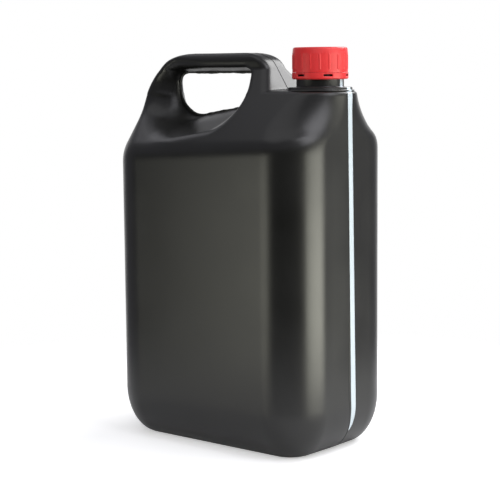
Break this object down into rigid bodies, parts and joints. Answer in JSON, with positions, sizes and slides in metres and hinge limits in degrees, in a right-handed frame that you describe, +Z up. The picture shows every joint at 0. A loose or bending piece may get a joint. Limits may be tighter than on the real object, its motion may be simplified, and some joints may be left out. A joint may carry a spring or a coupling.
{
  "type": "plastic jerrycan",
  "caption": "Blow-moulded plastic jerrycan with an integral hollow grip beside an offset screw neck, a ribbed screw cap, its sealing disc and a tamper ring.",
  "frame": {"origin": "centre of the can's plan, on the surface that the base stands on", "axes": "+Z up, +X along the wide face towards the neck, +Y across the can through a wide face"},
  "size_m": [0.1907, 0.121, 0.2988],
  "materials": {
    "black_polyethylene": "satin blow-moulded skin",
    "red_polypropylene": "semi-gloss moulded",
    "white_foam": "smooth foamed sheet"
  },
  "bodies": {
    "can": {"can_body": "black_polyethylene", "tamper_ring": "red_polypropylene"},
    "disc": {"cap_liner": "white_foam"},
    "closure": {"cap": "red_polypropylene"}
  },
  "joints": [
    {"name": "cap_lift", "type": "slide", "parent": "can", "child": "disc", "axis": [0, 0, 1], "range_m": [0, 0.0336]},
    {"name": "cap_turn", "type": "hinge", "parent": "disc", "child": "closure", "pos_m": [0.069, 0, 0.29], "axis": [0, 0, 1], "range_deg": [0, 2880]}
  ],
  "couplings": [
    {"joint": "cap_lift", "follows": "cap_turn", "m_per_rad": 0.00066845}
  ]
}
